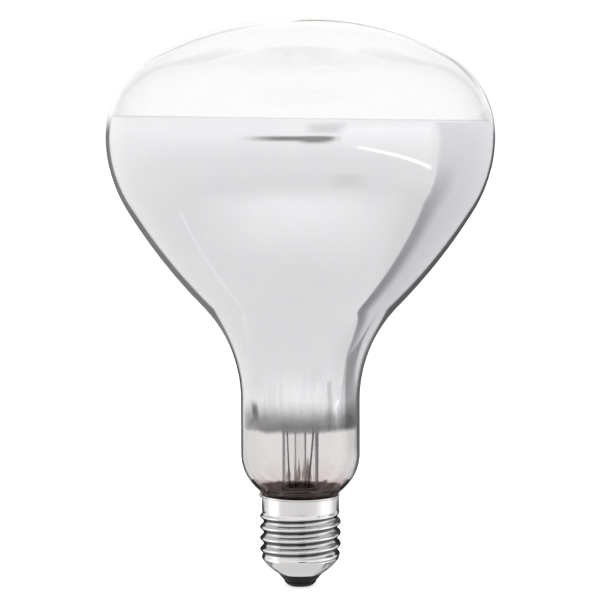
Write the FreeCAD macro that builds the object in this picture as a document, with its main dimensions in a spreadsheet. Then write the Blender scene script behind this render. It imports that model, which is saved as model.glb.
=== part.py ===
"""Infrared reflector heat lamp: blown bulb, silvered flank, filament mount and screw cap.

Millimetres. The lamp stands on its own axis, Z, with the centre contact at Z = 0 and the clear face up.
"""
import FreeCAD
import Part
import math
import os
import Sketcher

# Driving sizes in millimetres; base_angle and filament_angle are in degrees, and the two shares are of the
# reflector's depth from its widest level to its throat
SIZES = {
    # blown bulb, outside
    "overall_length": 184.5,
    "bulb_diameter": 125.0,
    "dome_height": 38.0,
    "crown_radius": 99.0,
    "shoulder_share": 0.532,
    "flank_radius": 180.0,
    "throat_share": 0.516,
    "throat_height": 61.2,
    "neck_diameter": 38.8,
    "base_radius": 14.9,
    "base_height": 43.7,
    "base_angle": 45.0,
    "glass_wall": 1.0,
    # foot of the bulb, sealed inside the cap
    "seal_diameter": 22.8,
    "seal_radius": 2.0,
    "seal_height": 25.5,
    # reflector film
    "film_thickness": 0.15,
    "film_top": 152.4,
    "film_bottom": 50.5,
    # stem and exhaust tube
    "stem_diameter": 11.8,
    "stem_wall": 1.0,
    "flare_radius": 7.0,
    "flare_height": 33.4,
    "stem_tube_top": 52.5,
    "press_shoulder": 5.0,
    "press_length": 8.5,
    "press_width": 13.6,
    "press_thickness": 5.2,
    "press_edge": 0.8,
    "exhaust_diameter": 4.0,
    "exhaust_bore": 2.7,
    "exhaust_seat": 1.4,
    "exhaust_tip_height": 14.0,
    "exhaust_tip_length": 3.0,
    "blow_hole_diameter": 1.2,
    # arbor
    "arbor_diameter": 3.2,
    "arbor_seat": 4.0,
    "button_diameter": 6.4,
    "button_thickness": 4.0,
    "button_height": 81.0,
    # filament, bent round the reflector's focus
    "focus_height": 93.0,
    "filament_radius": 15.0,
    "filament_angle": 270.0,
    "coil_diameter": 1.0,
    "coil_tail": 2.0,
    "support_diameter": 0.4,
    "support_root": 1.2,
    "support_reach": 5.5,
    "support_bend": 2.0,
    "hook_clearance": 0.15,
    # leads
    "lead_diameter": 0.6,
    "lead_spacing": 8.8,
    "lead_bend": 2.0,
    "inner_lead_rise": 6.0,
    "clamp_clearance": 0.45,
    "lead_joint_inside": 63.0,
    "lead_joint_outside": 55.0,
    "lead_gather_height": 34.0,
    "centre_lead_gather": 2.8,
    "side_lead_gather": 3.6,
    "side_lead_turn": 23.2,
    "side_lead_diameter": 0.5,
    "side_lead_exit": 29.3,
    # screw cap
    "cap_rim_height": 30.3,
    "rim_lip": 0.25,
    "thread_diameter": 26.4,
    "thread_depth": 1.2,
    "thread_pitch": 3.629,
    "thread_top": 25.6,
    "thread_bottom": 9.4,
    "thread_fade": 2.4,
    "crest_height": 15.9,
    "shell_sheet": 0.35,
    "shell_mouth_diameter": 14.8,
    "shell_mouth_height": 4.4,
    "shell_bow": 16.0,
    "notch_width": 0.7,
    "cement_bottom": 25.8,
    "cement_top": 29.9,
    # insulator and contacts
    "insulator_top": 8.2,
    "insulator_foot_diameter": 10.4,
    "insulator_foot_height": 1.9,
    "insulator_bottom": 0.6,
    "insulator_edge": 0.9,
    "contact_diameter": 7.6,
    "contact_sheet": 0.3,
    "contact_barrel_diameter": 3.9,
    "contact_barrel_bore": 3.1,
    "contact_barrel_top": 3.2,
    "solder_diameter": 5.2,
    "solder_flat_diameter": 3.2,
    "solder_top": 2.0,
    "lead_end_height": 0.5,
    "bead_diameter": 2.0,
    "bead_height": 30.1,
    # fit of bonded, sealed and soldered faces
    "bond_gap": 0.02,
}

SUPPORTS = 5
AXIS = None  # marks a coordinate that lies on the sketch's own axis


class Size:
    """A length with its number and the sheet expression that it comes from."""

    def __init__(self, text, number):
        self.text = text
        self.number = number

    def __add__(self, other):
        other = as_size(other)
        return Size(f"({self.text} + {other.text})", self.number + other.number)

    def __sub__(self, other):
        other = as_size(other)
        return Size(f"({self.text} - {other.text})", self.number - other.number)

    def __mul__(self, other):
        other = as_size(other)
        return Size(f"({self.text} * {other.text})", self.number * other.number)

    def __truediv__(self, other):
        other = as_size(other)
        return Size(f"({self.text} / {other.text})", self.number / other.number)


def as_size(value):
    return value if isinstance(value, Size) else Size(str(value), float(value))


def size(name):
    return Size(f"Sizes.{name}", SIZES[name])


def half(name):
    return size(name) / 2


def cosine(name):
    return Size(f"cos(Sizes.{name} * 1deg)", math.cos(math.radians(SIZES[name])))


def sine(name):
    return Size(f"sin(Sizes.{name} * 1deg)", math.sin(math.radians(SIZES[name])))


def number_of(value):
    return 0.0 if value is AXIS else value.number


def make_sheet(doc):
    sheet = doc.addObject("Spreadsheet::Sheet", "Sizes")
    for row, (name, value) in enumerate(SIZES.items(), start=1):
        sheet.set(f"A{row}", name)
        sheet.set(f"B{row}", str(value))
        sheet.setAlias(f"B{row}", name)
    doc.recompute()


def vector(across, up):
    return FreeCAD.Vector(across, up, 0)


def polar(centre, radius, angle):
    return (centre[0] + radius * math.cos(angle), centre[1] + radius * math.sin(angle))


def angle_from(centre, point):
    return math.atan2(point[1] - centre[1], point[0] - centre[0])


class Outline:
    """A sketch on one of its body's planes, drawn edge by edge and bound to the sheet."""

    def __init__(self, body, name, plane="XZ_Plane", offset=None):
        self.sketch = body.newObject("Sketcher::SketchObject", name)
        support = next(f for f in body.Origin.OriginFeatures if f.Role == plane)
        self.sketch.AttachmentSupport = [(support, "")]
        self.sketch.MapMode = "FlatFace"
        if offset is not None:
            self.sketch.setExpression("AttachmentOffset.Base.z", offset.text)

    def line(self, start, end):
        return self.sketch.addGeometry(Part.LineSegment(vector(*start), vector(*end)), False)

    def arc(self, centre, radius, first, last):
        circle = Part.Circle(vector(*centre), FreeCAD.Vector(0, 0, 1), radius)
        return self.sketch.addGeometry(Part.ArcOfCircle(circle, first, last), False)

    def rule(self, *parts):
        return self.sketch.addConstraint(Sketcher.Constraint(*parts))

    def measure(self, *parts):
        """Adds a dimension whose last part is a Size, and binds it."""
        index = self.rule(*parts[:-1], parts[-1].number)
        self.sketch.setExpression(f"Constraints[{index}]", parts[-1].text)

    def place(self, edge, end, across, up):
        """Fixes one end of an edge at sizes from the sketch's origin."""
        if across is AXIS:
            self.rule("PointOnObject", edge, end, -2)
        else:
            self.measure("DistanceX", -1, 1, edge, end, across)
        if up is AXIS:
            self.rule("PointOnObject", edge, end, -1)
        else:
            self.measure("DistanceY", -1, 1, edge, end, up)

    def circle(self, across, up, diameter):
        centre = vector(number_of(across), number_of(up))
        ring = Part.Circle(centre, FreeCAD.Vector(0, 0, 1), diameter.number / 2)
        edge = self.sketch.addGeometry(ring, False)
        self.place(edge, 3, across, up)
        self.measure("Diameter", edge, diameter)

    def polygon(self, corners):
        """Joins corners, each an (across, up) pair of sizes, with straight edges."""
        points = [(number_of(across), number_of(up)) for across, up in corners]
        edges = [self.line(a, b) for a, b in zip(points, points[1:] + points[:1])]
        for edge, following, (across, up) in zip(edges, edges[1:] + edges[:1], corners):
            self.rule("Coincident", edge, 2, following, 1)
            self.place(edge, 1, across, up)

    def bent_path(self, corners, bend, hook=None):
        """A wire's centre line through corners, rounded at each inner one, with a hook at its far end.

        The hook is an (across, up, radius) arc that the last straight runs into and that ends level
        with its own centre.
        """
        points = [(number_of(across), number_of(up)) for across, up in corners]
        if hook is not None:
            centre = (hook[0].number, hook[1].number)
            gap = math.dist(points[-1], centre)
            heading = angle_from(points[-1], centre) - math.asin(hook[2].number / gap)
            points.append(polar(centre, hook[2].number, heading - math.pi / 2))
        edges = [self.line(a, b) for a, b in zip(points, points[1:])]
        for before, after, corner, (across, up) in zip(edges, edges[1:], points[1:], corners[1:]):
            mark = self.sketch.addGeometry(Part.Point(vector(*corner)), True)
            self.place(mark, 1, across, up)
            self.rule("PointOnObject", mark, 1, before)
            self.rule("PointOnObject", mark, 1, after)
        self.place(edges[0], 1, *corners[0])
        for i, (before, after) in enumerate(zip(edges, edges[1:])):
            self.round_corner(before, after, points[i : i + 3], bend)
        if hook is None:
            self.place(edges[-1], 2, *corners[-1])
        else:
            loop = self.arc(centre, hook[2].number, heading - math.pi / 2, math.pi)
            self.rule("Tangent", edges[-1], 2, loop, 1)
            self.place(loop, 3, hook[0], hook[1])
            self.measure("Radius", loop, hook[2])
            self.rule("Horizontal", loop, 2, loop, 3)

    def round_corner(self, before, after, points, bend):
        """Swaps the corner between two straights for an arc that both run into."""
        start, corner, end = points
        arriving = angle_from(start, corner)
        leaving = angle_from(corner, end)
        turn = math.remainder(leaving - arriving, 2 * math.pi)
        side = math.copysign(math.pi / 2, turn)
        setback = bend.number * math.tan(abs(turn) / 2)
        entry = polar(corner, -setback, arriving)
        centre = polar(entry, bend.number, arriving + side)
        if turn > 0:
            edge = self.arc(centre, bend.number, arriving - side, leaving - side)
            self.rule("Tangent", before, 2, edge, 1)
            self.rule("Tangent", after, 1, edge, 2)
        else:
            edge = self.arc(centre, bend.number, leaving - side, arriving - side)
            self.rule("Tangent", before, 2, edge, 2)
            self.rule("Tangent", after, 1, edge, 1)
        self.measure("Radius", edge, bend)


def new_body(doc, label):
    body = doc.addObject("PartDesign::Body", label)
    body.Label = label
    return body


def turn_body(body, outline):
    """Revolves an outline about the lamp's axis."""
    revolution = body.newObject("PartDesign::Revolution", outline.sketch.Name + "_turned")
    revolution.Profile = outline.sketch
    revolution.ReferenceAxis = (outline.sketch, ["V_Axis"])
    revolution.Angle = 360


def turned(doc, label, corners):
    """A piece turned from straight-sided corners."""
    body = new_body(doc, label)
    outline = Outline(body, label + "_outline")
    outline.polygon(corners)
    turn_body(body, outline)
    return body


def bore(body, name, plane, offset, circles, length, flipped=False):
    """Sinks round holes of one length into a body."""
    outline = Outline(body, name + "_outline", plane, offset)
    for across, up, diameter in circles:
        outline.circle(across, up, diameter)
    pocket = body.newObject("PartDesign::Pocket", name)
    pocket.Profile = outline.sketch
    pocket.Reversed = flipped
    pocket.Length = length.number
    pocket.setExpression("Length", length.text)
    return pocket


def sweep_wire(body, path, plane, offset, across, up, diameter):
    """Runs a round section of a wire along its path, which starts square to the given plane."""
    section = Outline(body, path.sketch.Name + "_section", plane, offset)
    section.circle(across, up, diameter)
    body.Document.recompute()
    pipe = body.newObject("PartDesign::AdditivePipe", path.sketch.Name + "_swept")
    pipe.Profile = section.sketch
    edges = [f"Edge{i + 1}" for i in range(len(path.sketch.Shape.Edges))]
    pipe.Spine = (path.sketch, edges)


# Blown bulb and its film


class BulbCurve:
    """One of the bulb's nested outlines, a constant inset inside the glass's outer face."""

    def __init__(self, inset):
        self.inset = inset
        self.reach = half("bulb_diameter") - inset
        self.widest = size("overall_length") - size("dome_height")
        crown = size("crown_radius")
        drop = size("dome_height")
        brow = (crown * drop * 2 - drop * drop - half("bulb_diameter") * half("bulb_diameter")) / (
            crown * 2 - size("bulb_diameter")
        )
        self.crown = crown - inset
        self.brow = brow - inset
        depth = self.widest - size("throat_height")
        self.shoulder = depth * size("shoulder_share") - inset
        self.flank = size("flank_radius") - inset
        self.throat = depth * size("throat_share") + inset
        self.neck = half("neck_diameter") - inset

    def flank_centre(self, shoulder_centre, throat_centre):
        """Centre of the arc that runs into both the shoulder and the throat."""
        to_shoulder = self.flank.number - self.shoulder.number
        to_throat = self.flank.number + self.throat.number
        span = math.dist(shoulder_centre, throat_centre)
        along = (to_shoulder**2 - to_throat**2 + span**2) / (2 * span)
        aside = math.sqrt(to_shoulder**2 - along**2)
        heading = angle_from(shoulder_centre, throat_centre)
        return polar(polar(shoulder_centre, along, heading), aside, heading - math.pi / 2)

    def draw_reflector(self, outline, brow_end, neck_end):
        """Draws brow, shoulder, flank, throat and neck, from the angle brow_end to the height neck_end."""
        widest = self.widest.number
        throat_height = size("throat_height")
        shoulder_centre = (self.reach.number - self.shoulder.number, widest)
        throat_centre = (self.neck.number + self.throat.number, throat_height.number)
        flank_centre = self.flank_centre(shoulder_centre, throat_centre)
        upper = angle_from(flank_centre, shoulder_centre)
        lower = angle_from(flank_centre, throat_centre)
        brow_centre = (self.reach.number - self.brow.number, widest)
        self.brow_edge = outline.arc(brow_centre, self.brow.number, 0, brow_end)
        shoulder = outline.arc(shoulder_centre, self.shoulder.number, upper, 0)
        flank = outline.arc(flank_centre, self.flank.number, lower, upper)
        throat = outline.arc(throat_centre, self.throat.number, lower + math.pi, math.pi)
        self.neck_edge = outline.line(
            (self.neck.number, throat_height.number), (self.neck.number, neck_end.number)
        )
        outline.rule("Tangent", self.brow_edge, 1, shoulder, 2)
        outline.rule("Tangent", shoulder, 1, flank, 2)
        outline.rule("Tangent", flank, 1, throat, 1)
        outline.rule("Tangent", throat, 2, self.neck_edge, 1)
        outline.rule("Vertical", self.neck_edge)
        outline.rule("Horizontal", shoulder, 2, shoulder, 3)
        outline.place(shoulder, 2, self.reach, self.widest)
        outline.place(throat, 2, self.neck, throat_height)
        outline.measure("Radius", self.brow_edge, self.brow)
        outline.measure("Radius", shoulder, self.shoulder)
        outline.measure("Radius", flank, self.flank)
        outline.measure("Radius", throat, self.throat)
        outline.measure("DistanceY", -1, 1, self.neck_edge, 2, neck_end)

    def draw_crown(self, outline, brow_end):
        apex = size("overall_length") - self.inset
        centre = (0, apex.number - self.crown.number)
        self.crown_edge = outline.arc(centre, self.crown.number, brow_end, math.pi / 2)
        outline.rule("Tangent", self.crown_edge, 1, self.brow_edge, 2)
        outline.rule("PointOnObject", self.crown_edge, 3, -2)
        outline.place(self.crown_edge, 2, AXIS, apex)

    def crown_angle(self):
        """Angle at which the crown runs into the brow."""
        apex = SIZES["overall_length"] - self.inset.number
        crown_centre = (0, apex - self.crown.number)
        brow_centre = (self.reach.number - self.brow.number, self.widest.number)
        return angle_from(crown_centre, brow_centre)

    def draw_foot(self, outline):
        """Draws the neck's rounded base, its cone and the straight foot that the cap hides."""
        base_radius = size("base_radius") - self.inset
        seal_radius = size("seal_radius") + self.inset
        foot = half("seal_diameter") - self.inset
        shoulder = foot_shoulder()
        base_centre = (self.neck.number - base_radius.number, SIZES["base_height"])
        seal_centre = (foot.number + seal_radius.number, shoulder.number)
        facing = -math.radians(SIZES["base_angle"])
        base = outline.arc(base_centre, base_radius.number, facing, 0)
        seal = outline.arc(seal_centre, seal_radius.number, facing + math.pi, math.pi)
        cone = outline.line(
            polar(seal_centre, seal_radius.number, facing + math.pi),
            polar(base_centre, base_radius.number, facing),
        )
        self.foot_edge = outline.line(
            (foot.number, shoulder.number), (foot.number, SIZES["seal_height"])
        )
        outline.rule("Tangent", self.neck_edge, 2, base, 2)
        outline.rule("Tangent", base, 1, cone, 2)
        outline.rule("Tangent", cone, 1, seal, 1)
        outline.rule("Tangent", seal, 2, self.foot_edge, 1)
        outline.rule("Vertical", self.foot_edge)
        outline.measure("Radius", base, base_radius)
        outline.measure("Radius", seal, seal_radius)
        outline.place(seal, 2, foot, shoulder)
        outline.measure("DistanceY", -1, 1, self.foot_edge, 2, size("seal_height"))


def foot_shoulder():
    """Height at which the cone under the neck has run into the bulb's straight foot."""
    lean = cosine("base_angle")
    drop = sine("base_angle")
    radii = size("base_radius") + size("seal_radius")
    cone_reach = half("neck_diameter") - half("seal_diameter") - radii + radii * lean
    return size("base_height") - radii * drop - cone_reach * lean / drop


def close_between(outline, first, first_end, second, second_end, points):
    """Joins the ends of two curves with a straight edge."""
    edge = outline.line(*points)
    outline.rule("Coincident", edge, 1, first, first_end)
    outline.rule("Coincident", edge, 2, second, second_end)


def glass_envelope(doc):
    body = new_body(doc, "glass_envelope")
    outline = Outline(body, "bulb_outline")
    curves = [BulbCurve(as_size(0)), BulbCurve(size("glass_wall"))]
    for curve in curves:
        brow_end = curve.crown_angle()
        curve.draw_reflector(outline, brow_end, size("base_height"))
        curve.draw_crown(outline, brow_end)
        curve.draw_foot(outline)
    outer, inner = curves
    apex = SIZES["overall_length"]
    wall = SIZES["glass_wall"]
    foot = SIZES["seal_diameter"] / 2
    foot_end = SIZES["seal_height"]
    close_between(outline, outer.crown_edge, 2, inner.crown_edge, 2, [(0, apex), (0, apex - wall)])
    close_between(
        outline, outer.foot_edge, 2, inner.foot_edge, 2, [(foot, foot_end), (foot - wall, foot_end)]
    )
    turn_body(body, outline)
    return body


def reflector_film(doc):
    """The film lies on the glass's inner face, much thicker here than the real one."""
    body = new_body(doc, "reflector_film")
    outline = Outline(body, "film_outline")
    outer_inset = size("glass_wall") + size("bond_gap")
    curves = [BulbCurve(outer_inset), BulbCurve(outer_inset + size("film_thickness"))]
    rims = []
    for curve in curves:
        rise = SIZES["film_top"] - curve.widest.number
        brow_end = math.asin(rise / curve.brow.number)
        curve.draw_reflector(outline, brow_end, size("film_bottom"))
        outline.measure("DistanceY", -1, 1, curve.brow_edge, 2, size("film_top"))
        rim = curve.reach.number - curve.brow.number * (1 - math.cos(brow_end))
        rims.append((rim, SIZES["film_top"]))
    outer, inner = curves
    neck_ends = [(curve.neck.number, SIZES["film_bottom"]) for curve in curves]
    close_between(outline, outer.brow_edge, 2, inner.brow_edge, 2, rims)
    close_between(outline, outer.neck_edge, 2, inner.neck_edge, 2, neck_ends)
    turn_body(body, outline)
    return body


# Stem, exhaust tube and arbor


def press_top():
    return size("stem_tube_top") + size("press_shoulder") + size("press_length")


def draw_flare(outline):
    """The stem tube's wall, opening like a trumpet to meet the inside of the bulb's foot."""
    radius = half("stem_diameter")
    wall = size("stem_wall")
    flare = size("flare_radius")
    start = size("flare_height")
    top = size("stem_tube_top")
    rim = half("seal_diameter") - size("glass_wall") - size("bond_gap")
    centre = (radius.number + flare.number, start.number)
    arcs = []
    straights = []
    for bend, tube in ((flare, radius), (flare + wall, radius - wall)):
        rim_angle = math.pi + math.acos((centre[0] - rim.number) / bend.number)
        arc = outline.arc(centre, bend.number, math.pi, rim_angle)
        straight = outline.line((tube.number, top.number), (tube.number, start.number))
        outline.rule("Tangent", straight, 2, arc, 1)
        outline.rule("Vertical", straight)
        outline.measure("Radius", arc, bend)
        outline.place(arc, 1, tube, start)
        outline.measure("DistanceX", -1, 1, arc, 2, rim)
        outline.measure("DistanceY", -1, 1, straight, 1, top)
        arcs.append((arc, polar(centre, bend.number, rim_angle)))
        straights.append((straight, (tube.number, top.number)))
    (outer, outer_rim), (inner, inner_rim) = arcs
    close_between(outline, outer, 2, inner, 2, [outer_rim, inner_rim])
    (outer, outer_top), (inner, inner_top) = straights
    close_between(outline, outer, 1, inner, 1, [outer_top, inner_top])


def press_section(outline):
    """The pressed stem's oval section."""
    wide = half("press_width")
    thin = half("press_thickness")
    oval = Part.Ellipse(FreeCAD.Vector(0, 0, 0), wide.number, thin.number)
    edge = outline.sketch.addGeometry(oval, False)
    outline.sketch.exposeInternalGeometry(edge)
    outline.rule("Coincident", edge, 3, -1, 1)
    outline.rule("Horizontal", edge + 1)
    outline.measure("Distance", edge + 1, size("press_width"))
    outline.measure("Distance", edge + 2, size("press_thickness"))


def round_top(body, press):
    """Melts the press's upper rim round."""
    heights = [edge.BoundBox.ZMin for edge in press.Shape.Edges]
    rim = [f"Edge{i}" for i, height in enumerate(heights, start=1) if math.isclose(height, max(heights))]
    rounding = body.newObject("PartDesign::Fillet", "press_rounding")
    rounding.Base = (press, rim)
    rounding.setExpression("Radius", "Sizes.press_edge")


def glass_stem(doc):
    body = new_body(doc, "glass_stem")
    flare = Outline(body, "flare_outline")
    draw_flare(flare)
    turn_body(body, flare)
    shoulder_top = size("stem_tube_top") + size("press_shoulder")
    tube_end = Outline(body, "tube_end", "XY_Plane", size("stem_tube_top"))
    tube_end.circle(AXIS, AXIS, size("stem_diameter"))
    press_foot = Outline(body, "press_foot", "XY_Plane", shoulder_top)
    press_section(press_foot)
    doc.recompute()
    shoulder = body.newObject("PartDesign::AdditiveLoft", "press_shoulder_loft")
    shoulder.Profile = tube_end.sketch
    shoulder.Sections = [press_foot.sketch]
    press_outline = Outline(body, "press_outline", "XY_Plane", shoulder_top)
    press_section(press_outline)
    press = body.newObject("PartDesign::Pad", "press")
    press.Profile = press_outline.sketch
    press.Length = SIZES["press_length"]
    press.setExpression("Length", "Sizes.press_length")
    doc.recompute()
    round_top(body, press)
    gap = size("bond_gap") * 2
    spread = half("lead_spacing")
    lead_hole = size("lead_diameter") + gap
    bore(
        body,
        "lead_hole_right",
        "XY_Plane",
        size("stem_tube_top"),
        [(spread, AXIS, lead_hole)],
        press_top() - size("stem_tube_top"),
        flipped=True,
    )
    mirrored = body.newObject("PartDesign::Mirrored", "lead_hole_left")
    mirrored.Originals = [body.Tip]
    mirrored.MirrorPlane = (next(f for f in body.Origin.OriginFeatures if f.Role == "YZ_Plane"), [""])
    body.Tip = mirrored
    bore(
        body,
        "arbor_seat",
        "XY_Plane",
        press_top(),
        [(AXIS, AXIS, size("arbor_diameter") + gap)],
        size("arbor_seat"),
    )
    bore(
        body,
        "exhaust_seat",
        "XY_Plane",
        size("stem_tube_top"),
        [(AXIS, AXIS, size("exhaust_diameter") + gap)],
        size("exhaust_seat") * 2,
        flipped=True,
    )
    blow_height = size("stem_tube_top") + size("exhaust_seat") * 1.5
    bore(
        body,
        "blow_hole",
        "XZ_Plane",
        None,
        [(AXIS, blow_height, size("blow_hole_diameter"))],
        half("stem_diameter"),
    )
    return body


def exhaust_tube(doc):
    """The tube that the lamp was pumped through, drawn off and sealed at its lower end."""
    outer = half("exhaust_diameter")
    inner = half("exhaust_bore")
    top = size("stem_tube_top") + size("exhaust_seat")
    tip = size("exhaust_tip_height")
    taper = tip + size("exhaust_tip_length")
    wall = outer - inner
    corners = [
        (inner, top),
        (outer, top),
        (outer, taper),
        (wall, tip),
        (AXIS, tip),
        (AXIS, tip + wall * 3),
        (inner, taper + wall * 2),
    ]
    return turned(doc, "exhaust_tube", corners)


def arbor_rod(doc):
    """The glass rod above the press, with the button that the supports are set in."""
    rod = half("arbor_diameter")
    button = half("button_diameter")
    foot = press_top() - size("arbor_seat") + size("bond_gap")
    under = size("button_height")
    over = under + size("button_thickness")
    shoulder = size("button_thickness") / 4
    corners = [
        (AXIS, foot),
        (rod, foot),
        (rod, under - shoulder),
        (button - shoulder, under),
        (button, under + shoulder),
        (button, over - shoulder),
        (button - shoulder, over),
        (AXIS, over),
    ]
    body = turned(doc, "arbor_rod", corners)
    middle = under + size("button_thickness") / 2
    hole = bore(
        body,
        "support_hole",
        "YZ_Plane",
        size("support_root"),
        [(AXIS, middle, size("support_diameter") + size("bond_gap") * 2)],
        button,
        flipped=True,
    )
    pattern = body.newObject("PartDesign::PolarPattern", "support_holes")
    pattern.Originals = [hole]
    pattern.Axis = (next(f for f in body.Origin.OriginFeatures if f.Role == "Z_Axis"), [""])
    pattern.Angle = support_angle(SUPPORTS) - support_angle(1)
    body.Tip = pattern
    pattern.Occurrences = SUPPORTS
    return body


# Filament, supports and leads


def filament_start():
    """Direction, in degrees, of the filament's first clamped end; its gap faces the front."""
    return 90 - SIZES["filament_angle"] / 2


def support_angle(count):
    return filament_start() + SIZES["filament_angle"] * count / (SUPPORTS + 1)


def about_axis(degrees, foot=0.0):
    """Placement of a piece turned about a vertical line that stands foot along X from the lamp's axis."""
    return FreeCAD.Placement(
        FreeCAD.Vector(foot, 0, 0), FreeCAD.Rotation(FreeCAD.Vector(0, 0, 1), degrees)
    )


def filament_coil(doc):
    """The close coil as a bar of its own outer diameter, bent round the focus."""
    coil = doc.addObject("Part::Torus", "filament_coil")
    coil.Label = "filament_coil"
    coil.setExpression("Radius1", "Sizes.filament_radius")
    coil.setExpression("Radius2", "Sizes.coil_diameter / 2")
    tail = math.degrees(SIZES["coil_tail"] / SIZES["filament_radius"])
    coil.Angle3 = SIZES["filament_angle"] + 2 * tail
    coil.Placement = about_axis(filament_start() - tail)
    coil.setExpression("Placement.Base.z", "Sizes.focus_height")
    return coil


def support_wire(doc, count):
    """A hook that stands in the button and curls over the coil."""
    label = f"support_wire_{count}"
    body = new_body(doc, label)
    path = Outline(body, label + "_path")
    height = size("button_height") + size("button_thickness") / 2
    hook_radius = half("coil_diameter") + half("support_diameter") + size("hook_clearance")
    root = size("support_root") + size("bond_gap")
    path.bent_path(
        [(root, height), (size("support_reach"), height)],
        size("support_bend"),
        (size("filament_radius"), size("focus_height"), hook_radius),
    )
    sweep_wire(body, path, "YZ_Plane", root, AXIS, height, size("support_diameter"))
    body.Placement = about_axis(support_angle(count))
    return body


def inner_lead(doc, label, side):
    """A nickel wire that rises from the press, leans out and is curled over the filament's end."""
    body = new_body(doc, label)
    path = Outline(body, label + "_path")
    turn = math.radians(filament_start())
    end = (
        SIZES["filament_radius"] * math.cos(turn) - SIZES["lead_spacing"] / 2,
        SIZES["filament_radius"] * math.sin(turn),
    )
    angle_text = "(90 - Sizes.filament_angle / 2) * 1deg"
    reach = Size(
        f"sqrt((Sizes.filament_radius * cos({angle_text}) - Sizes.lead_spacing / 2)^2"
        f" + (Sizes.filament_radius * sin({angle_text}))^2)",
        math.hypot(*end),
    )
    hook_radius = half("coil_diameter") + half("lead_diameter") + size("clamp_clearance")
    start = size("lead_joint_inside")
    path.bent_path(
        [(AXIS, start), (AXIS, press_top() + size("inner_lead_rise"))],
        size("lead_bend"),
        (reach, size("focus_height"), hook_radius),
    )
    sweep_wire(body, path, "XY_Plane", start, AXIS, AXIS, size("lead_diameter"))
    lean = math.degrees(math.atan2(end[1], end[0]))
    body.Placement = about_axis(lean if side > 0 else 180 - lean, side * SIZES["lead_spacing"] / 2)
    return body


def seal_wire(doc, label, side):
    """The wire that carries the current through the pressed glass."""
    wire = doc.addObject("Part::Cylinder", label)
    wire.Label = label
    wire.setExpression("Radius", "Sizes.lead_diameter / 2")
    wire.setExpression("Height", "Sizes.lead_joint_inside - Sizes.lead_joint_outside")
    wire.Placement = about_axis(0)
    wire.setExpression("Placement.Base.x", f"{side} * Sizes.lead_spacing / 2")
    wire.setExpression("Placement.Base.z", "Sizes.lead_joint_outside")
    return wire


def lead_start():
    """Where both outer leads leave the press: out from the axis, and the two heights of the straight."""
    return half("lead_spacing"), size("lead_joint_outside"), size("stem_tube_top")


def outer_lead_centre(doc):
    """Runs down beside the exhaust tube and under its tip to the centre contact."""
    body = new_body(doc, "outer_lead_centre")
    path = Outline(body, "centre_lead_path")
    across, top, exit_height = lead_start()
    gather = size("centre_lead_gather")
    path.bent_path(
        [
            (across, top),
            (across, exit_height),
            (gather, size("lead_gather_height")),
            (gather, size("exhaust_tip_height")),
            (AXIS, size("insulator_top")),
            (AXIS, size("lead_end_height")),
        ],
        size("lead_bend"),
    )
    sweep_wire(body, path, "XY_Plane", top, across, AXIS, size("lead_diameter"))
    return body


def side_lead_path(body, name):
    """Down inside the stem, out under the bulb's foot, up through the cement and out at the rim."""
    path = Outline(body, name)
    across, top, exit_height = lead_start()
    gather = size("side_lead_gather")
    riser = half("seal_diameter") + half("side_lead_diameter") + size("bond_gap") * 4
    bend = size("side_lead_diameter")
    path.bent_path(
        [
            (across, top),
            (across, exit_height),
            (gather, size("lead_gather_height")),
            (gather, size("side_lead_turn")),
            (riser, size("side_lead_turn")),
            (riser, size("side_lead_exit")),
            (shell_radius() + size("rim_lip"), size("side_lead_exit")),
        ],
        bend,
    )
    return path


def outer_lead_side(doc):
    body = new_body(doc, "outer_lead_side")
    path = side_lead_path(body, "side_lead_path")
    across, top, _ = lead_start()
    sweep_wire(body, path, "XY_Plane", top, across, AXIS, size("side_lead_diameter"))
    body.Placement = about_axis(180)
    return body


# Screw cap


def shell_radius():
    """Outside of the plain shell, half way up the thread."""
    return (size("thread_diameter") - size("thread_depth")) / 2


def basing_cement(doc):
    """The ring between the bulb's foot and the shell, with the side lead's channel through it."""
    gap = size("bond_gap")
    inner = half("seal_diameter") + gap
    outer = shell_radius() - size("shell_sheet") - gap
    bottom = size("cement_bottom")
    top = size("cement_top")
    corners = [
        (inner, bottom),
        (outer, bottom),
        (outer, top),
        (inner + (top - foot_shoulder()) * 0.4, top),
        (inner, foot_shoulder()),
    ]
    ring = turned(doc, "cement_ring", corners)
    channel = new_body(doc, "lead_channel")
    path = side_lead_path(channel, "channel_path")
    across, start, _ = lead_start()
    sweep_wire(channel, path, "XY_Plane", start, across, AXIS, size("side_lead_diameter") + gap * 2)
    channel.Placement = about_axis(180)
    return cut(doc, "basing_cement", ring, channel)


def cut(doc, label, base, tool):
    piece = doc.addObject("Part::Cut", label)
    piece.Label = label
    piece.Base = base
    piece.Tool = tool
    return piece


def thread_centres():
    """Where the shell's round section lies, level by level, from the thread's bottom to its top.

    Seen along the axis, a knuckle thread is a circle set off centre by half its depth, which goes once
    round the axis for each pitch. The offset swells from nothing and fades again, so that the thread
    runs out into the plain shell at both ends.
    """
    bottom = SIZES["thread_bottom"]
    top = SIZES["thread_top"]
    steps = round(8 * (top - bottom) / SIZES["thread_pitch"])
    centres = []
    for step in range(steps + 1):
        height = bottom + (top - bottom) * step / steps
        run = min(1, (height - bottom) / SIZES["thread_fade"], (top - height) / SIZES["thread_fade"])
        offset = SIZES["thread_depth"] / 2 * run * run * (3 - 2 * run)
        turn = math.pi + 2 * math.pi * (height - SIZES["crest_height"]) / SIZES["thread_pitch"]
        centres.append(FreeCAD.Vector(offset * math.cos(turn), offset * math.sin(turn), height))
    return centres


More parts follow.
